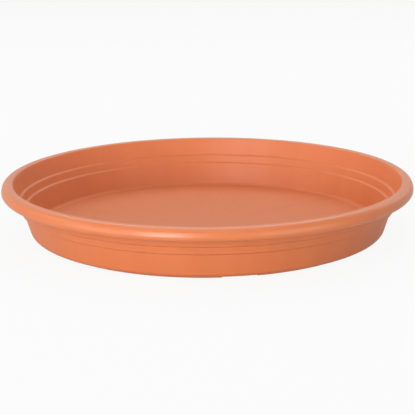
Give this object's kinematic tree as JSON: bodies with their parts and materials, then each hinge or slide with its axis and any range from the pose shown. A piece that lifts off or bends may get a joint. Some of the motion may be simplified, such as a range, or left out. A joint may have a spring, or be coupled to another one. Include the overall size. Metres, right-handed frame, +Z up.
{
  "type": "plant pot saucer",
  "caption": "Round shallow saucer for a plant pot, with a leaning wall stepped by two ledges, a rolled rim open underneath and a low broken foot ring.",
  "frame": {"origin": "on the ground at the centre of the saucer, level with the underside of its foot ring", "axes": "+Z up along the axis of revolution; -Y is the front of the picture, with one gap of the foot 9.7 degrees from it towards +X"},
  "size_m": [0.3, 0.3, 0.04],
  "materials": {
    "terracotta_plastic": "satin moulded plastic in terracotta orange, mass coloured, finer and shinier on the wall and rim than on the floor"
  },
  "bodies": {
    "root": {"saucer": "terracotta_plastic"}
  },
  "joints": []
}
